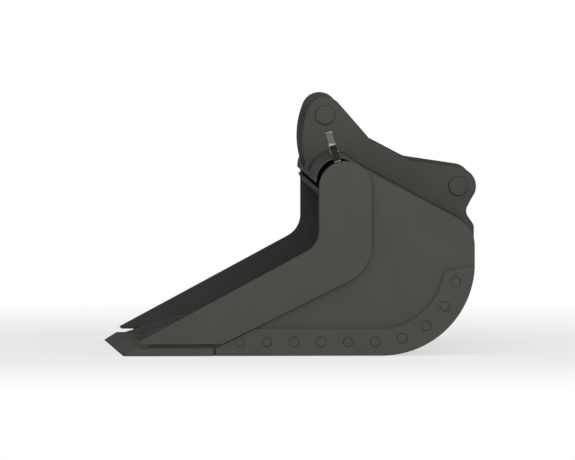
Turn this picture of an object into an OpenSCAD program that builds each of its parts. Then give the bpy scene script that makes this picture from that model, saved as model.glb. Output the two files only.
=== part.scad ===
// Skeleton bucket for an excavator with a symmetrical pin-grabbing coupler.
// The cutting edge points to -X, the width runs along Y and the bucket stands on its floor.

/* [Overall] */
// Width over the outer faces of the two side bands
bucket_w = 1250; // [1000:10:1600]
// Clearance between pieces that are welded together
weld_gap = 0.4; // [0.2:0.1:0.6]

/* [Coupler] */
// Diameter of the two coupler pins
pin_d = 60; // [45:1:70]
// Distance between the two coupler pins
pin_pitch = 480; // [430:5:520]
// Clear width between the two ears
ear_gap = 340; // [240:5:400]
// Thickness of an ear
ear_t = 25; // [15:1:35]
// How far a pin end stands out of its ear
pin_proud = 5; // [2:1:12]
// Distance from the cutting edge back to the front pin
front_pin_back = 663.5; // [650:0.5:680]
// Height of the front pin above the centre of the torsion tube
front_pin_up = 193; // [180:1:210]
// Downward tilt of the line from the front pin to the rear pin
pin_tilt = 28.2; // [26:0.1:30]
// Radius of the ear round each pin
ear_r = 57; // [50:1:62]

/* [Cutting edge] */
// Thickness of the cutting edge plate
lip_t = 25; // [16:1:40]
// Length of the cutting edge plate from front to back
lip_len = 287; // [240:1:320]
// Length of the bevel on top of the cutting edge
bevel_len = 40; // [25:1:60]
// Thickness of the seat plate on top of the cutting edge
seat_t = 12; // [8:1:16]
// How far the seat plate starts behind the cutting edge's tip
seat_back = 82; // [70:1:110]

/* [Sides] */
// Thickness of a side plate
side_t = 15; // [10:1:20]
// Thickness of a side band
band_t = 20; // [10:1:30]
// Width of the upright part of a side band
band_w = 167; // [150:1:185]
// Distance from the cutting edge back to the upright front edge of the sides
mouth_back = 623.8; // [605:0.1:640]
// Distance from the cutting edge back to the noses of the sides and ribs
nose_back = 48; // [44:1:60]
// Length of the foot that a side band stands on
band_foot = 267; // [240:1:280]
// Slope of the front edge of the sides
front_slope = 28.3; // [27:0.1:29.5]
// Slope of the rear edge of a side band
rear_slope = 26.4; // [25.5:0.1:27.5]
// Depth of the centre of a side band's round top below the centre of the torsion tube
crown_under = 20; // [12:1:26]
// Radius of the inner bend of a side band
front_bend_r = 76; // [50:1:100]
// Radius of the outer bend of a side band
rear_bend_r = 127; // [90:1:160]
// Height of the blunt nose of the sides and ribs
nose_h = 6; // [4:0.5:8]
// Radius of the top corner of that nose
nose_r = 3; // [1:0.5:4]

/* [Heel] */
// Distance from the cutting edge back to the centre of the heel
heel_back = 824.5; // [805:0.5:845]
// Radius of the heel
heel_r = 295; // [280:1:305]
// Width of a wear strip
strip_w = 85; // [70:1:95]
// Thickness of a wear strip
strip_t = 12; // [8:1:18]
// Gap between a wear strip and the pieces in front of it
strip_gap = 2.5; // [1:0.5:4]
// Gap between a wear strip and the cutting edge
lip_gap = 7; // [4:1:10]

/* [Roof] */
// Outer radius of the torsion tube
tube_r = 76; // [72:1:80]
// Wall of the torsion tube
tube_t = 5; // [4:0.5:8]
// Height of the centre of the torsion tube
tube_h = 555; // [550:0.5:562]
// How far the torsion tube stands out of the mouth
tube_proud = 11; // [8:1:15]
// Width of the open seam of the torsion tube
seam_w = 16; // [10:1:22]
// Thickness of the roof plate
roof_t = 12; // [8:1:16]
// Downward tilt of the roof
roof_tilt = 28.3; // [25.5:0.1:29]
// Depth of the roof's top below the top of the torsion tube
roof_step = 6.5; // [4:0.1:12]
// Outer bend radius between the roof and the back, as a share of the height of the upright back
roof_bend = 0.8; // [0.35:0.01:0.9]

/* [Grid] */
// Diameter of a cross rod
rod_d = 32; // [24:1:36]
// Distance between cross rods along the floor and heel
rod_pitch = 86.2; // [84:0.1:88]
// Distance from the rear of the cutting edge to the first cross rod
first_rod_back = 85; // [70:0.5:95]
// Thickness of a main rib
rib_t = 20; // [12:1:30]
// Depth of a main rib
rib_depth = 84; // [74:1:95]
// Slope of the top edge at the nose of a main rib
rib_slope = 17; // [14:1:20]
// Thickness of a grid bar
bar_t = 12; // [8:1:16]
// Depth of a grid bar
bar_depth = 68; // [62:1:72]
// How far the ribs and bars lie inside the heel's outline
grid_inset = 12; // [12:1:14]
// How far a grid bar laps over the seat plate
bar_lap = 45; // [30:1:60]
// Half of the height that the ribs and bars reach up above the top of the heel
grid_lap = 25; // [15:1:30]
// How far a cross rod's end lies below the wear strip's face
rod_recess = 2; // [1:0.5:4]

/* [Lifting hook] */
// Thickness of the lifting hook
hook_t = 22; // [20:1:30]
// Height of the lifting hook above the torsion tube's surface
hook_h = 88; // [82:1:98]
// Depth of the lifting hook from its nose to its back
hook_depth = 84; // [78:1:100]
// Thickness of the hook's bow
hook_bow = 24; // [20:1:27]
// Height of the hook's open mouth
hook_mouth = 27.5; // [24:0.5:30]
// Lean of the hook from upright, towards the mouth of the bucket
hook_lean = 17.5; // [8:0.5:20]
// How far the hook's middle plane lies behind the axis of the torsion tube
hook_aside = 13.8; // [10:0.1:16]
// Height of the hook's foot above the torsion tube
hook_base = 8; // [6:0.5:10]
// How far the hook's foot runs on behind its bow
hook_tail = 56; // [40:1:70]
// Depth of the hook's nose
nose_depth = 16; // [14:0.5:18]
// Clearance between the hook's toe and the side plate
toe_gap = 1; // [0.5:0.1:2]
// How far the hook's nose stands out past the end of the torsion tube
hook_out = 10; // [9:1:12]

/* [Latch] */
// Width of the hook's latch
latch_w = 21; // [18:0.5:24]
// Thickness of the latch's sheet
latch_t = 2.5; // [2:0.1:3]
// Diameter of the latch pin
latch_pin_d = 6; // [5:0.5:7]
// Radial running clearance of the latch on its pin
latch_fit = 0.08; // [0.04:0.01:0.1]
// Clearance between the latch and the hook
latch_gap = 0.5; // [0.4:0.1:0.8]
// How far the latch reaches up behind the hook's nose
latch_lap = 12; // [9:0.5:14]
// Width of the knuckle that carries the latch pin
knuckle_w = 6; // [5:0.5:8]
// Wire of the latch spring
spring_wire = 1; // [0.8:0.1:1.2]
// Length of the spring's legs
spring_leg = 14; // [10:0.5:16]
// Clearance between the spring and the latch pin
spring_gap = 0.3; // [0.2:0.05:0.4]

/* [Hidden] */
BARS_PER_BAY = 3;
BAYS = 3;
RODS = 10;
ARC_STEP = 4;
$fn = 96;
overrun = 1;

// Places along X, counted from the tip of the cutting edge; the origin is at the middle of the length
rear_pin_back = front_pin_back + pin_pitch * cos(pin_tilt);
overall_l = rear_pin_back + ear_r;
tip_x = -overall_l / 2;
lip_rear_x = tip_x + lip_len;
nose_x = tip_x + nose_back;
mouth_x = tip_x + mouth_back;
front_pin = [tip_x + front_pin_back, tube_h + front_pin_up];
rear_pin = front_pin + pin_pitch * [cos(pin_tilt), -sin(pin_tilt)];
heel_c = [tip_x + heel_back, heel_r];
back_x = heel_c.x + heel_r;
tube_c = [mouth_x + tube_r - tube_proud, tube_h];
crown_c = [mouth_x + band_w / 2, tube_h - crown_under];
seat_z = lip_t + seat_t;

// Places along Y: the outer faces of the bands, side plates and wear strips, and the side plates' inner faces
band_face = bucket_w / 2;
side_face = band_face - band_t;
side_inner = side_face - side_t;
strip_face = side_face + strip_t;
ear_inner = ear_gap / 2;
ear_outer = ear_inner + ear_t;

// Roof line: a point on it and its slope
roof_dir = [cos(roof_tilt), -sin(roof_tilt)];
roof_normal = [sin(roof_tilt), cos(roof_tilt)];
roof_point = tube_c + (tube_r - roof_step) * roof_normal;
function roof_z(x) = roof_point.y - (x - roof_point.x) * tan(roof_tilt);
roof_bend_r = roof_bend * (roof_z(back_x) - heel_r);

// Sides: the nose, the band's corners and the place where the crown meets the roof
front_corner_z = seat_z + nose_h + (mouth_x - nose_x) * tan(front_slope);
foot_rear_x = nose_x + band_foot;
rear_corner_z = seat_z + (mouth_x + band_w - foot_rear_x) * tan(rear_slope);
crown_drop = (roof_point - crown_c) * roof_normal;
crown_meet_angle = 90 - roof_tilt - acos(crown_drop / (band_w / 2));

// Heel and grid
strip_top_z = 0.966 * heel_r;
strip_end_tilt = 8;
rod_floor_z = 0.52 * strip_w;
inner_bend_c = heel_c - [0.035 * heel_r, 0];
first_rod_x = lip_rear_x + first_rod_back;
grid_top_z = heel_r + 2 * grid_lap;
bar_nose_slope = 45;
inner_w = 2 * side_inner;
bay_w = (inner_w - (BAYS - 1) * rib_t) / BAYS;
bar_space = (bay_w - BARS_PER_BAY * bar_t) / (BARS_PER_BAY + 1);

pin_weld = pin_proud / 2;

// Lifting hook, in a leaning frame: s runs inwards from the tube's near end, r outwards from the tube's axis
hook_top_r = tube_r + hook_h;
mouth_low_r = tube_r + weld_gap + hook_base;
mouth_top_r = mouth_low_r + hook_mouth;
nose_back_s = nose_depth - hook_out;
toe_r = 0.7 * tube_r;
toe_top_r = 0.83 * tube_r;
hook_web = hook_out / 2;
latch_front_s = nose_back_s + latch_gap;
latch_knuckle_r = latch_pin_d / 2 + latch_t;
latch_hinge = [latch_front_s + latch_knuckle_r, mouth_low_r + latch_knuckle_r + latch_gap];
latch_top_r = mouth_top_r + latch_lap;
// The latch's web is a strip with a joggle: a skirt before the hook's base, then back behind the nose
skirt_s = -hook_web - latch_gap - latch_t;
skirt_low = [skirt_s, toe_top_r + 2 * latch_gap];
skirt_high = [skirt_s, mouth_low_r + latch_gap];
joggle_end = [latch_front_s, mouth_top_r - 2 * latch_t];
latch_tip = [latch_front_s, latch_top_r];
flange_start = skirt_high + 0.3 * (joggle_end - skirt_high);

function unit(v) = v / norm(v);
function arc(c, r, a, b) = let (n = ceil(abs(b - a) / ARC_STEP))
    [for (i = [0 : n]) c + r * [cos(a + (b - a) * i / n), sin(a + (b - a) * i / n)]];
function turn(d) = d > 180 ? d - 360 : d < -180 ? d + 360 : d;
// Points of the arc of radius r that rounds the corner p between its neighbours a and b
function fillet(a, p, b, r) = let (
    u = unit(a - p),
    v = unit(b - p),
    half = acos(u * v) / 2,
    c = p + unit(u + v) * r / sin(half),
    t1 = p + u * r / tan(half) - c,
    t2 = p + v * r / tan(half) - c,
    a1 = atan2(t1.y, t1.x)
) arc(c, r, a1, a1 + turn(atan2(t2.y, t2.x) - a1));
// Corners are [x, z, radius]; a radius of zero leaves the corner sharp
function rounded(corners) = let (n = len(corners)) [
    for (i = [0 : n - 1]) let (
        a = corners[(i + n - 1) % n],
        p = corners[i],
        b = corners[(i + 1) % n]
    ) each p[2] == 0
        ? [[p.x, p.y]]
        : fillet([a.x, a.y], [p.x, p.y], [b.x, b.y], p[2])
];
function at(p, r = 0) = [p.x, p.y, r];
// The line of the floor, heel and back, moved inwards by inset, from x0 on the floor to z1 on the back
function heel_line(inset, x0, z1) = concat(
    [[x0, inset]],
    arc(heel_c, heel_r - inset, -90, 0),
    [[back_x - inset, z1]]
);
function reversed(list) = [for (i = [len(list) - 1 : -1 : 0]) list[i]];
// Centre of cross rod i
function rod_c(i) = let (
    s = first_rod_x + i * rod_pitch - inner_bend_c.x,
    r = heel_r - rod_floor_z
) s <= 0
    ? [inner_bend_c.x + s, rod_floor_z]
    : inner_bend_c + r * [sin(s / r * 180 / PI), -cos(s / r * 180 / PI)];
// Middle of grid bar i across the width
function bar_y(i) = let (bay = floor(i / BARS_PER_BAY), k = i % BARS_PER_BAY)
    -side_inner + bay * (bay_w + rib_t) + (k + 1) * bar_space + (k + 0.5) * bar_t;

// Extrudes an outline drawn in X and Z along Y, from y0 to y0 + t
module plate(y0, t) {
    translate([0, y0 + t, 0]) rotate([90, 0, 0]) linear_extrude(t) children();
}
// A round bar along Y
module bar_along_y(c, r, y0, y1) {
    translate([c.x, y1, c.y]) rotate([90, 0, 0]) cylinder(h = y1 - y0, r = r);
}
module rod_holes() {
    for (i = [0 : RODS - 1]) translate(rod_c(i)) circle(r = rod_d / 2 + weld_gap);
}
module mirror_y(side) {
    if (side > 0) mirror([0, 1, 0]) children();
    else children();
}

// Cutting edge with one bevel on top
module cutting_edge() {
    color("#4e4e4c")
        plate(-band_face, bucket_w)
            polygon([[tip_x, 0], [lip_rear_x, 0], [lip_rear_x, lip_t], [tip_x + bevel_len, lip_t]]);
}

// Plate on top of the cutting edge that the sides, ribs and bars stand on
module seat_plate() {
    color("#3c3c3b")
        plate(-side_face, 2 * side_face)
            polygon([
                [tip_x + seat_back, lip_t],
                [lip_rear_x, lip_t],
                [lip_rear_x, seat_z],
                [tip_x + seat_back + seat_t, seat_z]
            ]);
}

// Outline of a side plate without its holes
module side_outline() {
    polygon(concat(
        [[nose_x + nose_h, seat_z], [lip_rear_x + weld_gap, seat_z]],
        heel_line(0, lip_rear_x + weld_gap, heel_r + overrun),
        fillet([back_x, heel_r], [back_x, roof_z(back_x)], roof_point, roof_bend_r),
        arc(crown_c, band_w / 2, crown_meet_angle, 180),
        fillet([mouth_x, crown_c.y], [mouth_x, front_corner_z], [nose_x, seat_z + nose_h], front_bend_r),
        fillet([mouth_x, front_corner_z], [nose_x, seat_z + nose_h], [nose_x + nose_h, seat_z], nose_r)
    ));
}

module side_plate(side) {
    color("#4d4d4b")
        mirror_y(side)
            plate(-side_face, side_t)
                difference() {
                    side_outline();
                    rod_holes();
                }
}

// Thick band on the outside of a side plate
module side_band(side) {
    rear_x = mouth_x + band_w;
    color("#4f4f4c")
        mirror_y(side)
            plate(-band_face, band_t)
                polygon(concat(
                    [[nose_x + nose_h, seat_z], [foot_rear_x, seat_z]],
                    fillet([foot_rear_x, seat_z], [rear_x, rear_corner_z], [rear_x, crown_c.y], rear_bend_r),
                    arc(crown_c, band_w / 2, 0, 180),
                    fillet([mouth_x, crown_c.y], [mouth_x, front_corner_z],
                           [nose_x, seat_z + nose_h], front_bend_r),
                    fillet([mouth_x, front_corner_z], [nose_x, seat_z + nose_h],
                           [nose_x + nose_h, seat_z], nose_r)
                ));
}

// Wear strip along the floor and heel, on the outside of a side plate
module wear_strip(side) {
    x0 = lip_rear_x + lip_gap;
    // The slanted front end runs along the rear edge of the band
    run = strip_gap / sin(rear_slope);
    slant_x = foot_rear_x + run + (strip_w - seat_z) / tan(rear_slope);
    slant_z = seat_z + (x0 - foot_rear_x - run) * tan(rear_slope);
    inner_r = heel_r - strip_w;
    color("#4f4f4d")
        mirror_y(side)
            plate(-strip_face, strip_t)
                difference() {
                    polygon(concat(
                        [[x0, 0]],
                        [for (p = arc(heel_c, heel_r, -90, -asin((heel_r - strip_top_z) / heel_r))) p],
                        [for (p = arc(inner_bend_c, inner_r, -strip_end_tilt, -90)) p],
                        [[slant_x, strip_w], [x0, slant_z]]
                    ));
                    rod_holes();
                }
}

// Main rib that runs from its nose on the cutting edge round the heel to the back
module main_rib(side) {
    depth_z = grid_inset + rib_depth;
    top_x = nose_x + (depth_z - seat_z - nose_h) / tan(rib_slope);
    y = (bay_w + rib_t) / 2;
    color("#474746")
        plate(side * y - rib_t / 2, rib_t)
            difference() {
                polygon(concat(
                    [[nose_x + nose_h, seat_z], [lip_rear_x + weld_gap, seat_z]],
                    heel_line(grid_inset, lip_rear_x + weld_gap, grid_top_z),
                    [[back_x - grid_inset - rib_depth, grid_top_z - rib_depth / 2]],
                    arc(heel_c, heel_r - grid_inset - rib_depth, 0, -90),
                    [[top_x, depth_z], [nose_x, seat_z + nose_h]]
                ));
                rod_holes();
            }
}

// Grid bar i, on edge, from the seat plate round the heel to the back
module grid_bar(i) {
    top_z = grid_inset + bar_depth;
    front_x = lip_rear_x - bar_lap;
    color("#434342")
        plate(bar_y(i) - bar_t / 2, bar_t)
            difference() {
                polygon(concat(
                    [[front_x, seat_z], [lip_rear_x + weld_gap, seat_z]],
                    heel_line(grid_inset, lip_rear_x + weld_gap, grid_top_z),
                    [[back_x - grid_inset - bar_depth, grid_top_z - bar_depth / 2]],
                    arc(heel_c, heel_r - grid_inset - bar_depth, 0, -90),
                    [[front_x + (top_z - seat_z) / tan(bar_nose_slope), top_z]]
                ));
                rod_holes();
            }
}

// Cross rod i, through both sides, both wear strips, the ribs and the bars
module cross_rod(i) {
    reach = strip_face - rod_recess;
    color("#4a4a49") bar_along_y(rod_c(i), rod_d / 2, -reach, reach);
}

// Torsion tube with its seam open towards the mouth
module torsion_tube() {
    seam_angle = 190;
    color("#424241")
        plate(-side_inner, inner_w)
            translate(tube_c)
                difference() {
                    circle(r = tube_r);
                    circle(r = tube_r - tube_t);
                    rotate(seam_angle)
                        translate([tube_r - 2 * tube_t, -seam_w / 2])
                            square([3 * tube_t, seam_w]);
                }
}

// Outer line of the roof, from the lower end of the back up to the roof point
function roof_line(inset) = concat(
    [[back_x - inset, heel_r]],
    fillet([back_x - inset, heel_r], [back_x - inset, roof_z(back_x - inset) - inset / cos(roof_tilt)],
           roof_point - inset * roof_normal, roof_bend_r - inset),
    [roof_point - inset * roof_normal]
);

// Roof plate, bent down into the back; its front edge fits the torsion tube
module roof_plate() {
    color("#40403f")
        plate(-side_inner, inner_w)
            difference() {
                polygon(concat(roof_line(0), reversed(roof_line(roof_t))));
                translate(tube_c) circle(r = tube_r + weld_gap);
            }
}

// Direction, in degrees, of the point where a line from p touches the circle round c
function touch_angle(c, r, p, side) = let (d = p - c) atan2(d.y, d.x) + side * acos(r / norm(d));

// Outline of an ear before the tube and the roof are cut away from under it
module ear_outline() {
    // The front edge is a wide arc that runs into the round top at the front pin
    front_arc_r = 4.74 * ear_r;
    front_arc_tilt = 22;
    front_arc_low = 201.5;
    front_arc_c = front_pin + (front_arc_r - ear_r) * [cos(front_arc_tilt), -sin(front_arc_tilt)];
    // Corners of the top edge between the two pins
    saddle = front_pin + pin_pitch * [0.298, -0.169];
    waist = front_pin + pin_pitch * [0.553, -0.303];
    rear_low = -38;
    rear_leave = rear_pin + ear_r * [cos(rear_low), sin(rear_low)];
    neck = rear_pin + ear_r * [0.36, -1.42];
    tail_x = back_x + 0.3 * ear_r;
    tail_corner = [tail_x, neck.y - 0.75 * ear_r];
    tail_end = tail_corner - [0, 0.93 * ear_r];
    tail_low = tail_end.y - 0.26 * ear_r;
    polygon(concat(
        arc(front_arc_c, front_arc_r, front_arc_low, 180 - front_arc_tilt),
        arc(front_pin, ear_r, 180 - front_arc_tilt, touch_angle(front_pin, ear_r, saddle, 1)),
        fillet(front_pin + ear_r * [1, 1], saddle, waist, ear_r),
        fillet(saddle, waist, rear_pin + ear_r * [0, 1], ear_r),
        arc(rear_pin, ear_r, touch_angle(rear_pin, ear_r, waist, -1), rear_low),
        fillet(rear_leave, neck, tail_corner, 0.55 * ear_r),
        fillet(neck, tail_corner, tail_end, 0.45 * ear_r),
        [tail_end, [back_x, tail_low], [tube_c.x, tail_low], tube_c]
    ));
}

module ear(side) {
    color("#484846")
        mirror_y(side)
            plate(-ear_outer, ear_t)
                difference() {
                    ear_outline();
                    translate(tube_c) circle(r = tube_r + weld_gap);
                    polygon(concat([[tube_c.x, 0], [back_x, 0]], roof_line(0), [tube_c]));
                    translate(front_pin) circle(r = pin_d / 2 + weld_gap);
                    translate(rear_pin) circle(r = pin_d / 2 + weld_gap);
                }
}

module coupler_pin(c) {
    reach = ear_outer + pin_proud;
    chamfer = pin_proud / 3;
    color("#484847")
        translate([c.x, 0, c.y])
            rotate([90, 0, 0]) {
                cylinder(h = 2 * (reach - chamfer), r = pin_d / 2, center = true);
                for (end = [-1, 1])
                    translate([0, 0, end * (reach - chamfer)])
                        rotate([end < 0 ? 180 : 0, 0, 0])
                            cylinder(h = chamfer, r1 = pin_d / 2, r2 = pin_d / 2 - chamfer);
            }
}

// Fillet welds round the pin ends on the outer faces of the ears
module pin_weld_rings() {
    color("#404040")
        for (c = [front_pin, rear_pin], side = [-1, 1])
            translate([c.x, side * ear_outer, c.y])
                rotate([side * -90, 0, 0])
                    rotate_extrude()
                        polygon([[pin_d / 2, 0], [pin_d / 2 + pin_weld, 0], [pin_d / 2, pin_weld]]);
}

// Moves children from the leaning frame of the lifting hook, with its X across the hook, to their place
module hook_place() {
    translate([tube_c.x, -side_inner, tube_c.y])
        rotate([0, -hook_lean, 0])
            translate([hook_aside, 0, 0])
                children();
}

// Extrudes an outline drawn in s and r across the middle plane of the lifting hook, t thick
module in_hook_frame(t) {
    hook_place() rotate([90, 0, 90]) linear_extrude(t, center = true) children();
}

// Weld-on lifting hook: a bow over an open mouth, on a foot that fits the tube, with a toe before its end
module lifting_hook() {
    back_s = hook_depth - hook_out;
    tail_s = back_s + hook_tail;
    hook_edge_r = hook_out / 3;
    color("#9c9c99") {
        difference() {
            in_hook_frame(hook_t)
                polygon(rounded([
                    [-hook_out, toe_r, 0],
                    [tail_s, toe_r, 0],
                    [tail_s, mouth_low_r, hook_edge_r],
                    [back_s, mouth_low_r + 0.8 * hook_bow, 0.7 * hook_bow],
                    [back_s, hook_top_r, 1.4 * hook_bow],
                    [-hook_out, hook_top_r, 0.5 * hook_bow],
                    [-hook_out, mouth_top_r, hook_edge_r],
                    [nose_back_s, mouth_top_r, hook_edge_r],
                    [nose_back_s, hook_top_r - hook_bow, 0.4 * hook_bow],
                    [back_s - hook_bow, hook_top_r - hook_bow, 0.6 * hook_bow],
                    [back_s - hook_bow, mouth_low_r, 0.4 * hook_bow],
                    [-hook_web, mouth_low_r, hook_edge_r / 2],
                    [-hook_web, toe_top_r, 0],
                    [-hook_out, toe_top_r, hook_edge_r / 2]
                ]));
            bar_along_y(tube_c, tube_r + weld_gap, -side_inner - weld_gap, -side_inner + tail_s + overrun);
            bar_along_y(crown_c, band_w / 2 + toe_gap, -band_face, -side_inner - weld_gap);
        }
        // Knuckle that carries the latch pin
        in_hook_frame(knuckle_w)
            difference() {
                union() {
                    translate(latch_hinge) circle(r = latch_knuckle_r - latch_gap);
                    translate([latch_hinge.x - latch_pin_d / 2, mouth_low_r - overrun])
                        square([latch_pin_d, latch_hinge.y - mouth_low_r + overrun]);
                }
                translate(latch_hinge) circle(r = latch_pin_d / 2 + latch_fit);
            }
    }
}

// Latch: a sheet with two flanges that hinge on the base; its tip rests against the inside of the nose
module hook_latch() {
    shift = [latch_t, 0];
    color("#2e2e2d") {
        in_hook_frame(latch_w)
            difference() {
                polygon([
                    skirt_low, skirt_low + shift, skirt_high + shift,
                    joggle_end + shift, latch_tip + shift, latch_tip, joggle_end, skirt_high
                ]);
                translate(latch_hinge) circle(r = latch_knuckle_r);
            }
        for (side = [-1, 1])
            hook_place()
                translate([side * (latch_w - latch_t) / 2, 0, 0])
                    rotate([90, 0, 90])
                        linear_extrude(latch_t, center = true)
                            difference() {
                                union() {
                                    translate(latch_hinge) circle(r = latch_knuckle_r);
                                    polygon([
                                        latch_hinge + [latch_knuckle_r, 0],
                                        latch_tip + shift, latch_tip, joggle_end, flange_start,
                                        latch_hinge - [0, latch_knuckle_r]
                                    ]);
                                }
                                translate(latch_hinge) circle(r = latch_pin_d / 2 + latch_fit);
                            }
    }
}

// Pin through the latch's flanges and the knuckle
module latch_pin() {
    color("#b9b9b6")
        in_hook_frame(hook_t + latch_t)
            translate(latch_hinge) circle(r = latch_pin_d / 2);
}

// Sweeps a round wire along a path across the X axis; each entry holds a place and its outward direction
module wire(path, r) {
    sides = 10;
    rings = len(path);
    polyhedron(
        points = [for (p = path) for (k = [0 : sides - 1])
            p[0] + r * (cos(360 * k / sides) * p[1] + sin(360 * k / sides) * [1, 0, 0])],
        faces = concat(
            [[for (k = [sides - 1 : -1 : 0]) k]],
            [[for (k = [0 : sides - 1]) (rings - 1) * sides + k]],
            [for (i = [0 : rings - 2]) for (k = [0 : sides - 1]) let (m = (k + 1) % sides)
                [i * sides + k, i * sides + m, (i + 1) * sides + m, (i + 1) * sides + k]]
        )
    );
}

// Double torsion spring round the latch pin, one coil on each side of the knuckle
module latch_spring() {
    coil_r = latch_pin_d / 2 + spring_wire / 2 + spring_gap;
    coil_x = knuckle_w / 2 + 0.85 * spring_wire;
    coil_w = 1.65 * spring_wire;
    down = [0, 0, -1];
    out = [0, -1, 0];
    path = concat(
        [[[coil_x, spring_leg, -coil_r], down]],
        [for (i = [0 : 36]) let (a = -90 - 12.5 * i, e = [0, cos(a), sin(a)])
            [[coil_x + coil_w * i / 36, 0, 0] + coil_r * e, e]],
        [[[coil_x + coil_w, -coil_r, latch_knuckle_r - spring_wire / 2], out]]
    );
    color("#8a8a86")
        hook_place()
            translate([0, latch_hinge.x, latch_hinge.y]) {
                wire(path, spring_wire / 2);
                mirror([1, 0, 0]) wire(path, spring_wire / 2);
            }
}

cutting_edge();
seat_plate();
side_plate(-1);  // side_plate_right
side_plate(1);  // side_plate_left
side_band(-1);  // side_band_right
side_band(1);  // side_band_left
wear_strip(-1);  // wear_strip_right
wear_strip(1);  // wear_strip_left
main_rib(-1);  // main_rib_right
main_rib(1);  // main_rib_left
for (i = [0 : BAYS * BARS_PER_BAY - 1])
    grid_bar(i);
for (i = [0 : RODS - 1])
    cross_rod(i);
torsion_tube();
roof_plate();
ear(-1);  // ear_right
ear(1);  // ear_left
coupler_pin(front_pin);
coupler_pin(rear_pin);
pin_weld_rings();
lifting_hook();
hook_latch();
latch_pin();
latch_spring();
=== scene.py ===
# Looks of the skeleton bucket: bevelled plates, weld beads, paint, light and camera.
import math
import bmesh
import bpy
import numpy as np
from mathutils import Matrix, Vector


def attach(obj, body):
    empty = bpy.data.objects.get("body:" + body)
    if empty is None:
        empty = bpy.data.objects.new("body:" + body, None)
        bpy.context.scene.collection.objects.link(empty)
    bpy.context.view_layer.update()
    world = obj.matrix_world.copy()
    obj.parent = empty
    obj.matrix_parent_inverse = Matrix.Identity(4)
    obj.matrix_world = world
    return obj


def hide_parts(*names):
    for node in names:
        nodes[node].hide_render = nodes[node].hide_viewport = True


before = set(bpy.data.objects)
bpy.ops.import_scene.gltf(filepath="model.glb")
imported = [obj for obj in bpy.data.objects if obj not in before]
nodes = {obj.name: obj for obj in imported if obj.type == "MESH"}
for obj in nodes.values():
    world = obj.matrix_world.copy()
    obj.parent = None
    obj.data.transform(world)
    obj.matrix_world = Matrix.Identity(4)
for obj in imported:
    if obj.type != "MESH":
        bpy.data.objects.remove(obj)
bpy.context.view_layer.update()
print("frame loaded")

# Millimetres to the metres of the scene
mm = 0.001


def linear(hexColour):
    channels = [int(hexColour[i:i + 2], 16) / 255 for i in (1, 3, 5)]
    return [c / 12.92 if c <= 0.04045 else ((c + 0.055) / 1.055) ** 2.4 for c in channels] + [1.0]


def addNode(tree, kind, settings=None, inputs=None):
    node = tree.nodes.new(kind)
    for key, value in (settings or {}).items():
        setattr(node, key, value)
    for key, value in (inputs or {}).items():
        if isinstance(value, bpy.types.NodeSocket):
            tree.links.new(value, node.inputs[key])
        else:
            node.inputs[key].default_value = value
    return node


def combine(tree, operation, first, second):
    return addNode(tree, "ShaderNodeMath", {"operation": operation}, {0: first, 1: second}).outputs[0]


def noise(tree, coords, sizeMm, detail):
    inputs = {"Vector": coords, "Scale": 1 / (sizeMm * mm), "Detail": detail}
    return addNode(tree, "ShaderNodeTexNoise", None, inputs).outputs["Fac"]


def ramp(tree, value, low, high, outLow, outHigh):
    inputs = {"Value": value, "From Min": low, "From Max": high, "To Min": outLow, "To Max": outHigh}
    return addNode(tree, "ShaderNodeMapRange", {"clamp": True}, inputs).outputs["Result"]


def mixColours(tree, factor, first, second):
    return addNode(tree, "ShaderNodeMix", {"data_type": "RGBA"}, {0: factor, 6: first, 7: second}).outputs[2]


def newMaterial(name, **values):
    material = bpy.data.materials.new(name)
    material.use_nodes = True
    tree = material.node_tree
    shader = next(n for n in tree.nodes if n.type == "BSDF_PRINCIPLED")
    for key, value in values.items():
        shader.inputs[key].default_value = value
    coords = addNode(tree, "ShaderNodeTexCoord").outputs["Object"]
    return material, tree, shader, coords


# Joins colour, roughness and a fine relief to the surface
def joinSurface(tree, shader, colour, rough, relief, reliefMm, strength):
    tree.links.new(colour, shader.inputs["Base Color"])
    tree.links.new(rough, shader.inputs["Roughness"])
    inputs = {"Height": relief, "Distance": reliefMm * mm, "Strength": strength}
    bump = addNode(tree, "ShaderNodeBump", None, inputs)
    tree.links.new(bump.outputs["Normal"], shader.inputs["Normal"])


# Matte powder coat: faint clouding over a decimetre or so, duller patches and a fine orange peel
def powderCoat(name, base, light, roughLow, roughHigh):
    cloudMm, patchMm, peelMm = 140, 45, 1.6
    material, tree, shader, coords = newMaterial(name, **{"Specular IOR Level": 0.03})
    clouds = ramp(tree, noise(tree, coords, cloudMm, 4), 0.3, 0.7, 0.0, 1.0)
    colour = mixColours(tree, clouds, linear(base), linear(light))
    rough = ramp(tree, noise(tree, coords, patchMm, 3), 0.3, 0.7, roughLow, roughHigh)
    joinSurface(tree, shader, colour, rough, noise(tree, coords, peelMm, 2), 0.05, 0.35)
    return material


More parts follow.
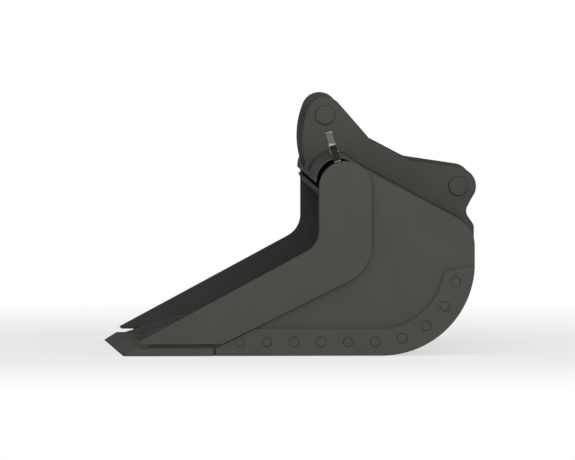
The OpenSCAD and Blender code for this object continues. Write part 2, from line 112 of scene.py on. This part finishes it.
# Hot-dip galvanised steel: a pattern of crystals, each of its own grey, painted darker between the two
# heights as painted shade across the middle of the hook's nose, so that its lighter ends stand as painted
# highlights
def galvanised(name, paintedShadeFromMm, paintedShadeToMm):
    crystalMm, grainMm, fadeMm = 7, 3, 4
    material, tree, shader, coords = newMaterial(name, **{"Metallic": 1.0})
    cells = addNode(tree, "ShaderNodeTexVoronoi", None, {"Vector": coords, "Scale": 1 / (crystalMm * mm)})
    split = addNode(tree, "ShaderNodeSeparateColor", None, {"Color": cells.outputs["Color"]})
    shade = split.outputs["Red"]
    height = addNode(tree, "ShaderNodeSeparateXYZ", None, {"Vector": coords}).outputs["Z"]
    # Painted shade: a darker band between the two heights, fading in over fadeMm at each side
    above = ramp(tree, height, (paintedShadeFromMm - fadeMm) * mm, paintedShadeFromMm * mm, 0.0, 1.0)
    below = ramp(tree, height, paintedShadeToMm * mm, (paintedShadeToMm + fadeMm) * mm, 1.0, 0.0)
    paintedShade = combine(tree, "MULTIPLY", above, below)
    plainZinc = mixColours(tree, shade, linear("#6c6c69"), linear("#838380"))
    shadedZinc = mixColours(tree, shade, linear("#454543"), linear("#535351"))
    colour = mixColours(tree, paintedShade, plainZinc, shadedZinc)
    rough = ramp(tree, shade, 0, 1, 0.42, 0.6)
    joinSurface(tree, shader, colour, rough, noise(tree, coords, grainMm, 3), 0.08, 0.3)
    return material


# Plain metal with fine drawing marks, for the pin and the spring
def drawnMetal(name, dark, light, rough):
    markMm = 0.8
    material, tree, shader, coords = newMaterial(name, **{"Metallic": 1.0})
    marks = noise(tree, coords, markMm, 4)
    colour = mixColours(tree, marks, linear(dark), linear(light))
    spread = ramp(tree, marks, 0.3, 0.7, rough - 0.06, rough + 0.08)
    joinSurface(tree, shader, colour, spread, marks, 0.02, 0.3)
    return material


paint = powderCoat("matte dark grey powder coat", "#434340", "#464643", 0.78, 0.84)
weldPaint = powderCoat("powder coat over weld", "#333332", "#393937", 0.72, 0.8)
# Painted shade: black paint on the latch and the hook's body, standing for the shade in the hook's mouth and
# on its sides
blackShadePaint = powderCoat("black paint as painted shade", "#212121", "#252524", 0.5, 0.58)
# Painted shade across the middle of the hook's nose, from 676 to 706 mm high
zinc = galvanised("galvanised hook steel", 676, 706)
pinMetal = drawnMetal("bright zinc pin", "#8d8d88", "#a9a9a4", 0.32)
springMetal = drawnMetal("oiled spring steel", "#3c3c3a", "#52524f", 0.3)
print("materials made")

# Corners closer than this are one, and faces turned by less than this are one face
weldDistance = 0.002 * mm
flatAngle = math.radians(0.4)
# Edges sharper than these stay sharp on plates and on beads, in degrees
plateSharp, beadSharp = 35, 50


def link(obj):
    bpy.context.scene.collection.objects.link(obj)
    return obj


def smoothFaces(mesh, angleDeg):
    mesh.polygons.foreach_set("use_smooth", [True] * len(mesh.polygons))
    mesh.set_sharp_from_angle(angle=math.radians(angleDeg))


# Turns the faces outwards, after joining up the flat ones where asked
def mendFaces(mesh, joinFlat):
    work = bmesh.new()
    work.from_mesh(mesh)
    if joinFlat:
        bmesh.ops.remove_doubles(work, verts=work.verts, dist=weldDistance)
        bmesh.ops.dissolve_limit(work, angle_limit=flatAngle, verts=work.verts, edges=work.edges)
    bmesh.ops.recalc_face_normals(work, faces=work.faces)
    work.to_mesh(mesh)
    work.free()


# A copy of a CAD node with its flat faces joined up, so that its edges can be rounded
def dress(node, material, bevelMm):
    mesh = nodes[node].data.copy()
    mendFaces(mesh, True)
    smoothFaces(mesh, plateSharp)
    mesh.materials.clear()
    mesh.materials.append(material)
    piece = link(bpy.data.objects.new("dressed_" + node, mesh))
    if bevelMm:
        bevel = piece.modifiers.new("edges", "BEVEL")
        bevel.width = bevelMm * mm
        bevel.segments = 2
        bevel.limit_method = "ANGLE"
        bevel.angle_limit = math.radians(plateSharp)
        bevel.harden_normals = True
    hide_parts(node)
    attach(piece, "latch" if node == "hook_latch" else "bucket")
    return piece


# Width of the rounding of the edges, in millimetres; the other pieces have the plates' own
plateBevel, rodBevel = 1.5, 2.0
edgeBevel = {"torsion_tube": 1.8, "cutting_edge": 1.2, "seat_plate": 1.0, "lifting_hook": 1.2,
             "hook_latch": 0.4, "latch_pin": 0.5, "latch_spring": 0, "pin_weld_rings": 0,
             "front_pin": 0.8, "rear_pin": 0.8}
edgeBevel.update({name: rodBevel for name in nodes if name.startswith("cross_rod")})
finish = {"lifting_hook": blackShadePaint, "hook_latch": blackShadePaint, "latch_pin": pinMetal,
          "latch_spring": springMetal, "pin_weld_rings": weldPaint}
# A face is a front when its normal points to the camera's side by at least this much
frontNormalY = -0.7
for name in nodes:
    piece = dress(name, finish.get(name, paint), edgeBevel.get(name, plateBevel))
    if name == "lifting_hook":
        # The hook's front is bare zinc; its flanks, top and foot, which turn from the camera's side, are
        # painted black as painted shade
        piece.data.materials.append(zinc)
        for face in piece.data.polygons:
            face.material_index = 1 if face.normal.y < frontNormalY else 0
print("plates, rods and pins dressed")


# Outlines in the plane of the side plates, in millimetres
def arcPoints(centre, radius, start, end, stepMm=2.0):
    count = max(2, int(abs(math.radians(end - start)) * radius / stepMm) + 1)
    angles = np.radians(np.linspace(start, end, count))
    return np.stack([centre[0] + radius * np.cos(angles), centre[1] + radius * np.sin(angles)], 1)


# Distance of every point of a line from its first point, along the line
def runLength(points):
    return np.concatenate([[0], np.cumsum(np.linalg.norm(np.diff(points, axis=0), axis=1))])


# The line again in even steps, without points that lie on each other
def resample(points, stepMm):
    points = np.asarray(points, float)
    lengths = np.linalg.norm(np.diff(points, axis=0), axis=1)
    points = points[np.concatenate([[True], lengths > 1e-6])]
    along = runLength(points)
    at = np.linspace(0, along[-1], max(3, int(along[-1] / stepMm) + 1))
    return np.stack([np.interp(at, along, points[:, i]) for i in range(points.shape[1])], 1)


def unitRows(v):
    return v / np.linalg.norm(v, axis=1, keepdims=True)


# Weld beads, in millimetres: the step between two rings and the pitch of the ripples
beadStep = 1.6
ripplePitch = 4.2
# How much a bead's size wanders and ripples, and at how many places it wanders
rippleShare = 0.05
driftKnots = 24
sectionPoints = 9
# A bead's face: 0 is flat from leg to leg and 1 a full quarter circle
bulge = 0.8
# A bead's ends taper over this share of its size, and lose this share of their squared size
taperShare, taperDrop = 0.6, 0.9


# A weld bead in a corner: its rings run from one leg to the other over a full face with ripples
def bead(name, corner, legA, legB, sizeMm, seed):
    count = len(corner)
    run = runLength(corner)
    rng = np.random.default_rng(seed)
    knots = np.linspace(0, run[-1], driftKnots)
    drift = np.interp(run, knots, rng.normal(0, rippleShare, driftKnots))
    phase = (run / ripplePitch) % 1.0
    swell = 1 + drift + rippleShare * (phase - 0.5)
    ends = np.clip(np.minimum(run, run[-1] - run) / (taperShare * sizeMm), 0, 1)
    size = sizeMm * swell * np.sqrt(1 - (1 - ends) ** 2 * taperDrop)
    rings = []
    for angle in np.linspace(0, math.pi / 2, sectionPoints):
        straightA = 1 - angle / (math.pi / 2)
        straightB = 1 - straightA
        shareA = straightA + (math.cos(angle) - straightA) * bulge
        shareB = straightB + (math.sin(angle) - straightB) * bulge
        rings.append(corner + (size * shareA)[:, None] * legA + (size * shareB)[:, None] * legB)
    rings.append(corner)
    points = np.stack(rings, 1).reshape(-1, 3) * mm
    across = sectionPoints + 1
    i, k = np.meshgrid(np.arange(count - 1), np.arange(across), indexing="ij")
    a = i * across + k
    b = i * across + (k + 1) % across
    faces = np.stack([a, b, b + across, a + across], -1).reshape(-1, 4).tolist()
    faces += [list(range(across))[::-1], list(range((count - 1) * across, count * across))]
    mesh = bpy.data.meshes.new(name)
    mesh.from_pydata(points.tolist(), [], faces)
    mendFaces(mesh, False)
    mesh.materials.append(weldPaint)
    smoothFaces(mesh, beadSharp)
    piece = link(bpy.data.objects.new(name, mesh))
    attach(piece, "bucket")


# A bead along a line in X and Z on the plane at y, lying against side sideY of it
def planeBead(name, line, y, sideY, sizeMm, seed, flip=1):
    flat = resample(line, beadStep)
    tangent = unitRows(np.gradient(flat, axis=0))
    normal = np.stack([-tangent[:, 1], tangent[:, 0]], 1) * flip
    corner = np.stack([flat[:, 0], np.full(len(flat), y), flat[:, 1]], 1)
    legA = np.stack([normal[:, 0], np.zeros(len(flat)), normal[:, 1]], 1)
    legB = np.tile([0.0, sideY, 0.0], (len(flat), 1))
    bead(name, corner, legA, legB, sizeMm, seed)


# Sizes from the CAD source, in millimetres and degrees
tipX = -571.75
tubeC = (117.05, 555.0)
tubeR = 76.0
roofTiltDeg = 28.3
roofStep = 6.5
backX = 547.75
heelR = 295.0
roofBendShare = 0.8
sideInner = 590.0
earFaces = (195.0, 170.0)
roofTilt = math.radians(roofTiltDeg)
roofNormal = np.array([math.sin(roofTilt), math.cos(roofTilt)])
roofPoint = np.array(tubeC) + (tubeR - roofStep) * roofNormal
sideLabels = ((-1, "right"), (1, "left"))


def roofZ(x):
    return roofPoint[1] - (x - roofPoint[0]) * math.tan(roofTilt)


# The ears' feet follow the tube, the roof's bend and the back down to the ears' lower end;
# the tube's end beads run round it from below to where the roof meets it
earFootFrom, earFootZ, tubeEndFrom = 170, 332.0, -133
meetAngle = 90 - math.degrees(roofTilt) - math.degrees(math.acos((tubeR - roofStep) / tubeR))
bendR = roofBendShare * (roofZ(backX) - heelR)
bendC = (backX - bendR, roofZ(backX - bendR) - bendR / math.cos(roofTilt))
roofBend = arcPoints(bendC, bendR, 90 - math.degrees(roofTilt), 0)
earFoot = np.concatenate([arcPoints(tubeC, tubeR, earFootFrom, meetAngle), roofBend, [[backX, earFootZ]]])
tubeEnd = arcPoints(tubeC, tubeR, tubeEndFrom, meetAngle - 1)[::-1]
for side, label in sideLabels:
    planeBead("weld_ear_outer_" + label, earFoot, side * earFaces[0], side, 6, 1 + side)
    planeBead("weld_ear_inner_" + label, earFoot, side * earFaces[1], -side, 6, 5 + side)
    planeBead("weld_tube_end_" + label, tubeEnd, side * sideInner, -side, 6, 9 + side, flip=-1)

# The seat plate starts behind the cutting edge's tip and reaches its full height after its chamfer
seatBack, seatChamfer, lipDepth, barLap = 82.0, 12.0, 287.0, 45.0
seatFrontX = tipX + seatBack + seatChamfer
lipRearX = tipX + lipDepth
barFrontX = lipRearX - barLap
seatZ = 37.0
ribT, barT = 20.0, 12.0
barCount, barsPerBay = 9, 3
bayW = (2 * sideInner - 2 * ribT) / 3
barSpace = (bayW - barsPerBay * barT) / (barsPerBay + 1)
# Every foot bead stops this far short of the ends of its corner
beadInset = 2


# A straight bead along X in the corner between the seat plate and one flank of an upright plate
def footBead(name, frontX, y, sideY, sizeMm, seed):
    x0, x1 = frontX + beadInset, lipRearX - beadInset
    line = np.linspace(x0, x1, max(3, int((x1 - x0) / beadStep)))
    corner = np.stack([line, np.full(len(line), y), np.full(len(line), seatZ)], 1)
    legA = np.tile([0.0, 0.0, 1.0], (len(line), 1))
    legB = np.tile([0.0, sideY, 0.0], (len(line), 1))
    bead(name, corner, legA, legB, sizeMm, seed)


# The beads on both flanks of an upright plate with its middle at y
def flankBeads(name, frontX, y, thickness, sizeMm, seed):
    for side, letter in ((-1, "a"), (1, "b")):
        footBead(name + "_" + letter, frontX, y + side * thickness / 2, side, sizeMm, seed + side)


for i, y in enumerate(((bayW + ribT) / 2, -(bayW + ribT) / 2)):
    flankBeads("weld_rib_foot_%d" % (i + 1), seatFrontX, y, ribT, 6, 30 + 2 * i)
for i in range(barCount):
    bay, place = divmod(i, barsPerBay)
    y = -sideInner + bay * (bayW + ribT) + (place + 1) * barSpace + (place + 0.5) * barT
    flankBeads("weld_bar_foot_%d" % (i + 1), barFrontX, y, barT, 5, 50 + 2 * i)
for side, label in sideLabels:
    footBead("weld_side_foot_" + label, seatFrontX, side * sideInner, -side, 7, 90 + side)
print("weld beads laid")


# Is 1 for rays of the camera and for those that metal or glass sends on, 0 for light on the object
def seenRays(tree):
    rays = addNode(tree, "ShaderNodeLightPath").outputs
    either = combine(tree, "MAXIMUM", rays["Is Camera Ray"], rays["Is Glossy Ray"])
    return combine(tree, "MAXIMUM", either, rays["Is Transmission Ray"])


def blendShaders(tree, share, first, second):
    inputs = {0: share, 1: first.outputs[0], 2: second.outputs[0]}
    return addNode(tree, "ShaderNodeMixShader", None, inputs).outputs[0]


# A matte floor, lifted towards white where it is seen; the lift leaves the shadow under the object
# and grows to full white at the floor's rim, in metres from the origin
def floorMaterial(name, lifted, plain):
    liftFrom, liftTo, liftNear, liftFar = 1.3, 3.6, 0.6, 1.0
    material = bpy.data.materials.new(name)
    material.use_nodes = True
    tree = material.node_tree
    tree.nodes.clear()
    out = addNode(tree, "ShaderNodeOutputMaterial")
    place = addNode(tree, "ShaderNodeTexCoord").outputs["Object"]
    away = addNode(tree, "ShaderNodeVectorMath", {"operation": "LENGTH"}, {0: place}).outputs["Value"]
    lift = ramp(tree, away, liftFrom, liftTo, liftNear, liftFar)
    white = addNode(tree, "ShaderNodeEmission", None, {"Color": linear(lifted)})
    matte = addNode(tree, "ShaderNodeBsdfDiffuse", None, {"Color": linear(plain)})
    share = combine(tree, "MULTIPLY", seenRays(tree), lift)
    tree.links.new(blendShaders(tree, share, matte, white), out.inputs[0])
    return material


# The floor lies just under the bucket
floorHalf, floorZ = 4.0, -1.0 * mm
floorMesh = bpy.data.meshes.new("floor")
floorCorners = [(x * floorHalf, y * floorHalf, floorZ) for x, y in ((-1, -1), (1, -1), (1, 1), (-1, 1))]
floorMesh.from_pydata(floorCorners, [], [(0, 1, 2, 3)])
floorMesh.materials.append(floorMaterial("pale floor", "#ffffff", "#f2f2f0"))
floor = link(bpy.data.objects.new("floor", floorMesh))

# The world is white where it is seen; its light is strong from the camera's side and weak from
# behind and from beyond the cutting edge
frontLight, behindLight = 1.6, 0.14
edgeSideLight, heelSideLight = 0.2, 1.0
world = bpy.data.worlds.new("studio")
bpy.context.scene.world = world
world.use_nodes = True
sky = world.node_tree
sky.nodes.clear()
skyOut = addNode(sky, "ShaderNodeOutputWorld")
direction = addNode(sky, "ShaderNodeTexCoord").outputs["Generated"]
towards = addNode(sky, "ShaderNodeSeparateXYZ", None, {"Vector": direction}).outputs
dimBehind = ramp(sky, towards["Y"], -0.7, 0.2, frontLight, behindLight)
dimLeft = ramp(sky, towards["X"], -0.8, 0.1, edgeSideLight, heelSideLight)
strength = combine(sky, "MULTIPLY", dimBehind, dimLeft)
soft = addNode(sky, "ShaderNodeBackground", None, {"Color": linear("#f4f4f6"), "Strength": strength})
white = addNode(sky, "ShaderNodeBackground", None, {"Color": linear("#ffffff"), "Strength": 1.0})
sky.links.new(blendShaders(sky, seenRays(sky), soft, white), skyOut.inputs[0])


# A square lamp, in metres and watts, that faces a point above the origin
def areaLight(name, place, aimHeight, size, power):
    data = bpy.data.lights.new(name, "AREA")
    data.shape = "SQUARE"
    data.size = size
    data.energy = power
    lamp = link(bpy.data.objects.new(name, data))
    lamp.location = place
    lamp.rotation_mode = "QUATERNION"
    lamp.rotation_quaternion = (Vector((0, 0, aimHeight)) - Vector(place)).to_track_quat("-Z", "Y")


areaLight("front softbox", (0.6, -5.0, 0.7), 0.35, 2.4, 80)
areaLight("front fill", (-1.6, -5.4, 0.7), 0.35, 1.8, 24)
areaLight("top softbox", (-1.4, -1.6, 3.2), 0.3, 1.8, 14)
# Low lamps for the far side and the back, which face away from the camera
areaLight("rear right softbox", (4.6, 2.8, 1.0), 0.35, 2.0, 105)
areaLight("rear left softbox", (-4.4, 3.4, 1.0), 0.35, 2.0, 12)

# The photograph's lens is so long that its lines stay parallel
azimuth, elevation = math.radians(-2.8), math.radians(2.4)
mmPerPixel, photoWidth = 3.177, 575
cameraDistance, clipEnd = 6, 60
aim = Vector((-0.0491, -0.625, 0.4006))
level = math.cos(elevation)
back = Vector((math.sin(azimuth) * level, -math.cos(azimuth) * level, math.sin(elevation)))
cameraData = bpy.data.cameras.new("camera")
cameraData.type = "ORTHO"
cameraData.ortho_scale = mmPerPixel * photoWidth * mm
cameraData.clip_end = clipEnd
camera = link(bpy.data.objects.new("camera", cameraData))
camera.location = aim + back * cameraDistance
camera.rotation_mode = "QUATERNION"
camera.rotation_quaternion = (-back).to_track_quat("-Z", "Y")
bpy.context.scene.camera = camera
bpy.context.scene.view_settings.view_transform = "Standard"
print("stage, light and camera set")
